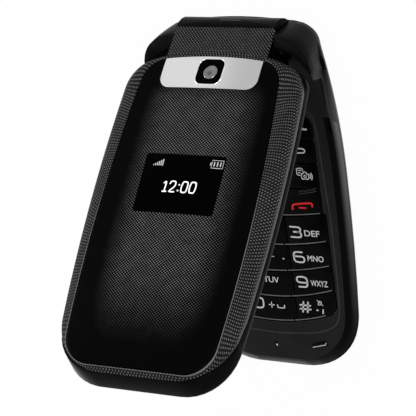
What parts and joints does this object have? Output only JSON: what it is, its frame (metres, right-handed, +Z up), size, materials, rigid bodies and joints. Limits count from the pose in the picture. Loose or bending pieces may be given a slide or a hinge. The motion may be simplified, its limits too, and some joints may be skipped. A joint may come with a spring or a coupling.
{
  "type": "folding mobile phone",
  "caption": "Clamshell mobile phone, half open: display lid with a small outer screen and camera on a barrel hinge over a keypad base.",
  "frame": {"origin": "centre of the base's footprint, on the surface it lies on", "axes": "+X to the right across the phone, +Y along the base towards the hinge, +Z up out of the keypad"},
  "size_m": [0.0508, 0.098, 0.0775],
  "materials": {
    "grained_shell": "fine grained black with a dull sheen",
    "gloss_black": "polished black",
    "panel_black": "black with a fine dot grain under lacquer",
    "satin_black": "satin black",
    "window": "smoked clear plastic",
    "display": "dark panel with light figures",
    "silver_plate": "brushed silver",
    "inner_black": "plain moulded",
    "board": "green circuit board",
    "steel": "plain metal",
    "gold": "gold plated",
    "rubber": "soft dull black",
    "ribbon": "polyimide film",
    "battery": "wrapped cell",
    "key_black": "satin black with white printed marks"
  },
  "bodies": {
    "base": {"base_front_housing": "gloss_black", "base_rear_housing": "satin_black", "battery": "battery", "main_board": "board", "shield_cans": "steel", "dome_sheet": "ribbon", "usb_port": "steel", "headset_jack": "inner_black", "antenna": "ribbon", "loudspeaker": "inner_black", "microphone": "steel", "battery_contacts": "gold", "base_screws": "steel", "base_bumpers": "rubber", "hinge_shaft": "steel", "hinge_pin": "steel"},
    "lid": {"lid_outer_shell": "grained_shell", "lid_inner_housing": "gloss_black", "lid_front_panel": "panel_black", "outer_window": "window", "outer_display": "display", "camera_plate": "silver_plate", "camera_window": "gloss_black", "camera_module": "inner_black", "inner_window": "window", "inner_display": "display", "earpiece": "inner_black", "lid_board": "board", "vibration_motor": "steel", "lid_screws": "steel", "lid_bumpers": "rubber", "lid_magnet": "steel", "hinge_can": "steel", "flex_cable": "ribbon"},
    "battery_cover": {"battery_cover": "satin_black"},
    "volume_key": {"volume_key": "satin_black"},
    "port_cover": {"port_cover": "rubber"},
    "nav_ring": {"nav_ring": "key_black"},
    "soft_key_left": {"soft_key_left": "key_black"},
    "soft_key_right": {"soft_key_right": "key_black"},
    "ok_key": {"ok_key": "key_black"},
    "message_key": {"message_key": "key_black"},
    "speaker_key": {"speaker_key": "key_black"},
    "send_key": {"send_key": "key_black"},
    "back_key": {"back_key": "key_black"},
    "camera_key": {"camera_key": "key_black"},
    "end_key": {"end_key": "key_black"},
    "clear_key": {"clear_key": "key_black"},
    "key_1": {"key_1": "key_black"},
    "key_2": {"key_2": "key_black"},
    "key_3": {"key_3": "key_black"},
    "key_4": {"key_4": "key_black"},
    "key_5": {"key_5": "key_black"},
    "key_6": {"key_6": "key_black"},
    "key_7": {"key_7": "key_black"},
    "key_8": {"key_8": "key_black"},
    "key_9": {"key_9": "key_black"},
    "key_star": {"key_star": "key_black"},
    "key_0": {"key_0": "key_black"},
    "key_hash": {"key_hash": "key_black"}
  },
  "joints": [
    {"name": "lid_hinge", "type": "hinge", "parent": "base", "child": "lid", "pos_m": [0, 0.043, 0.01], "axis": [-1, 0, 0], "range_deg": [-45, 115]},
    {"name": "battery_cover_slide", "type": "slide", "parent": "base", "child": "battery_cover", "axis": [0, -1, 0], "range_m": [0, 0.006]},
    {"name": "volume_key_press", "type": "slide", "parent": "base", "child": "volume_key", "axis": [1, 0, 0], "range_m": [0, 0.0003], "stiffness_N_per_m": 300, "springref_m": -0.00005},
    {"name": "port_cover_hinge", "type": "hinge", "parent": "base", "child": "port_cover", "pos_m": [-0.0243, -0.01745, 0.0042], "axis": [0, 0, -1], "range_deg": [0, 100]},
    {"name": "nav_ring_tilt", "type": "hinge", "parent": "base", "child": "nav_ring", "pos_m": [0, 0.0124, 0.0085], "axis": [1, 0, 0], "range_deg": [-1.2, 1.2], "stiffness_Nm_per_rad": 0.02},
    {"name": "soft_key_left_press", "type": "slide", "parent": "base", "child": "soft_key_left", "axis": [0, 0, -1], "range_m": [0, 0.00025], "stiffness_N_per_m": 300, "springref_m": -0.00005},
    {"name": "soft_key_right_press", "type": "slide", "parent": "base", "child": "soft_key_right", "axis": [0, 0, -1], "range_m": [0, 0.00025], "stiffness_N_per_m": 300, "springref_m": -0.00005},
    {"name": "ok_key_press", "type": "slide", "parent": "base", "child": "ok_key", "axis": [0, 0, -1], "range_m": [0, 0.00025], "stiffness_N_per_m": 300, "springref_m": -0.00005},
    {"name": "message_key_press", "type": "slide", "parent": "base", "child": "message_key", "axis": [0, 0, -1], "range_m": [0, 0.00025], "stiffness_N_per_m": 300, "springref_m": -0.00005},
    {"name": "speaker_key_press", "type": "slide", "parent": "base", "child": "speaker_key", "axis": [0, 0, -1], "range_m": [0, 0.00025], "stiffness_N_per_m": 300, "springref_m": -0.00005},
    {"name": "send_key_press", "type": "slide", "parent": "base", "child": "send_key", "axis": [0, 0, -1], "range_m": [0, 0.00025], "stiffness_N_per_m": 300, "springref_m": -0.00005},
    {"name": "back_key_press", "type": "slide", "parent": "base", "child": "back_key", "axis": [0, 0, -1], "range_m": [0, 0.00025], "stiffness_N_per_m": 300, "springref_m": -0.00005},
    {"name": "camera_key_press", "type": "slide", "parent": "base", "child": "camera_key", "axis": [0, 0, -1], "range_m": [0, 0.00025], "stiffness_N_per_m": 300, "springref_m": -0.00005},
    {"name": "end_key_press", "type": "slide", "parent": "base", "child": "end_key", "axis": [0, 0, -1], "range_m": [0, 0.00025], "stiffness_N_per_m": 300, "springref_m": -0.00005},
    {"name": "clear_key_press", "type": "slide", "parent": "base", "child": "clear_key", "axis": [0, 0, -1], "range_m": [0, 0.00025], "stiffness_N_per_m": 300, "springref_m": -0.00005},
    {"name": "key_1_press", "type": "slide", "parent": "base", "child": "key_1", "axis": [0, 0, -1], "range_m": [0, 0.00025], "stiffness_N_per_m": 300, "springref_m": -0.00005},
    {"name": "key_2_press", "type": "slide", "parent": "base", "child": "key_2", "axis": [0, 0, -1], "range_m": [0, 0.00025], "stiffness_N_per_m": 300, "springref_m": -0.00005},
    {"name": "key_3_press", "type": "slide", "parent": "base", "child": "key_3", "axis": [0, 0, -1], "range_m": [0, 0.00025], "stiffness_N_per_m": 300, "springref_m": -0.00005},
    {"name": "key_4_press", "type": "slide", "parent": "base", "child": "key_4", "axis": [0, 0, -1], "range_m": [0, 0.00025], "stiffness_N_per_m": 300, "springref_m": -0.00005},
    {"name": "key_5_press", "type": "slide", "parent": "base", "child": "key_5", "axis": [0, 0, -1], "range_m": [0, 0.00025], "stiffness_N_per_m": 300, "springref_m": -0.00005},
    {"name": "key_6_press", "type": "slide", "parent": "base", "child": "key_6", "axis": [0, 0, -1], "range_m": [0, 0.00025], "stiffness_N_per_m": 300, "springref_m": -0.00005},
    {"name": "key_7_press", "type": "slide", "parent": "base", "child": "key_7", "axis": [0, 0, -1], "range_m": [0, 0.00025], "stiffness_N_per_m": 300, "springref_m": -0.00005},
    {"name": "key_8_press", "type": "slide", "parent": "base", "child": "key_8", "axis": [0, 0, -1], "range_m": [0, 0.00025], "stiffness_N_per_m": 300, "springref_m": -0.00005},
    {"name": "key_9_press", "type": "slide", "parent": "base", "child": "key_9", "axis": [0, 0, -1], "range_m": [0, 0.00025], "stiffness_N_per_m": 300, "springref_m": -0.00005},
    {"name": "key_star_press", "type": "slide", "parent": "base", "child": "key_star", "axis": [0, 0, -1], "range_m": [0, 0.00025], "stiffness_N_per_m": 300, "springref_m": -0.00005},
    {"name": "key_0_press", "type": "slide", "parent": "base", "child": "key_0", "axis": [0, 0, -1], "range_m": [0, 0.00025], "stiffness_N_per_m": 300, "springref_m": -0.00005},
    {"name": "key_hash_press", "type": "slide", "parent": "base", "child": "key_hash", "axis": [0, 0, -1], "range_m": [0, 0.00025], "stiffness_N_per_m": 300, "springref_m": -0.00005}
  ]
}
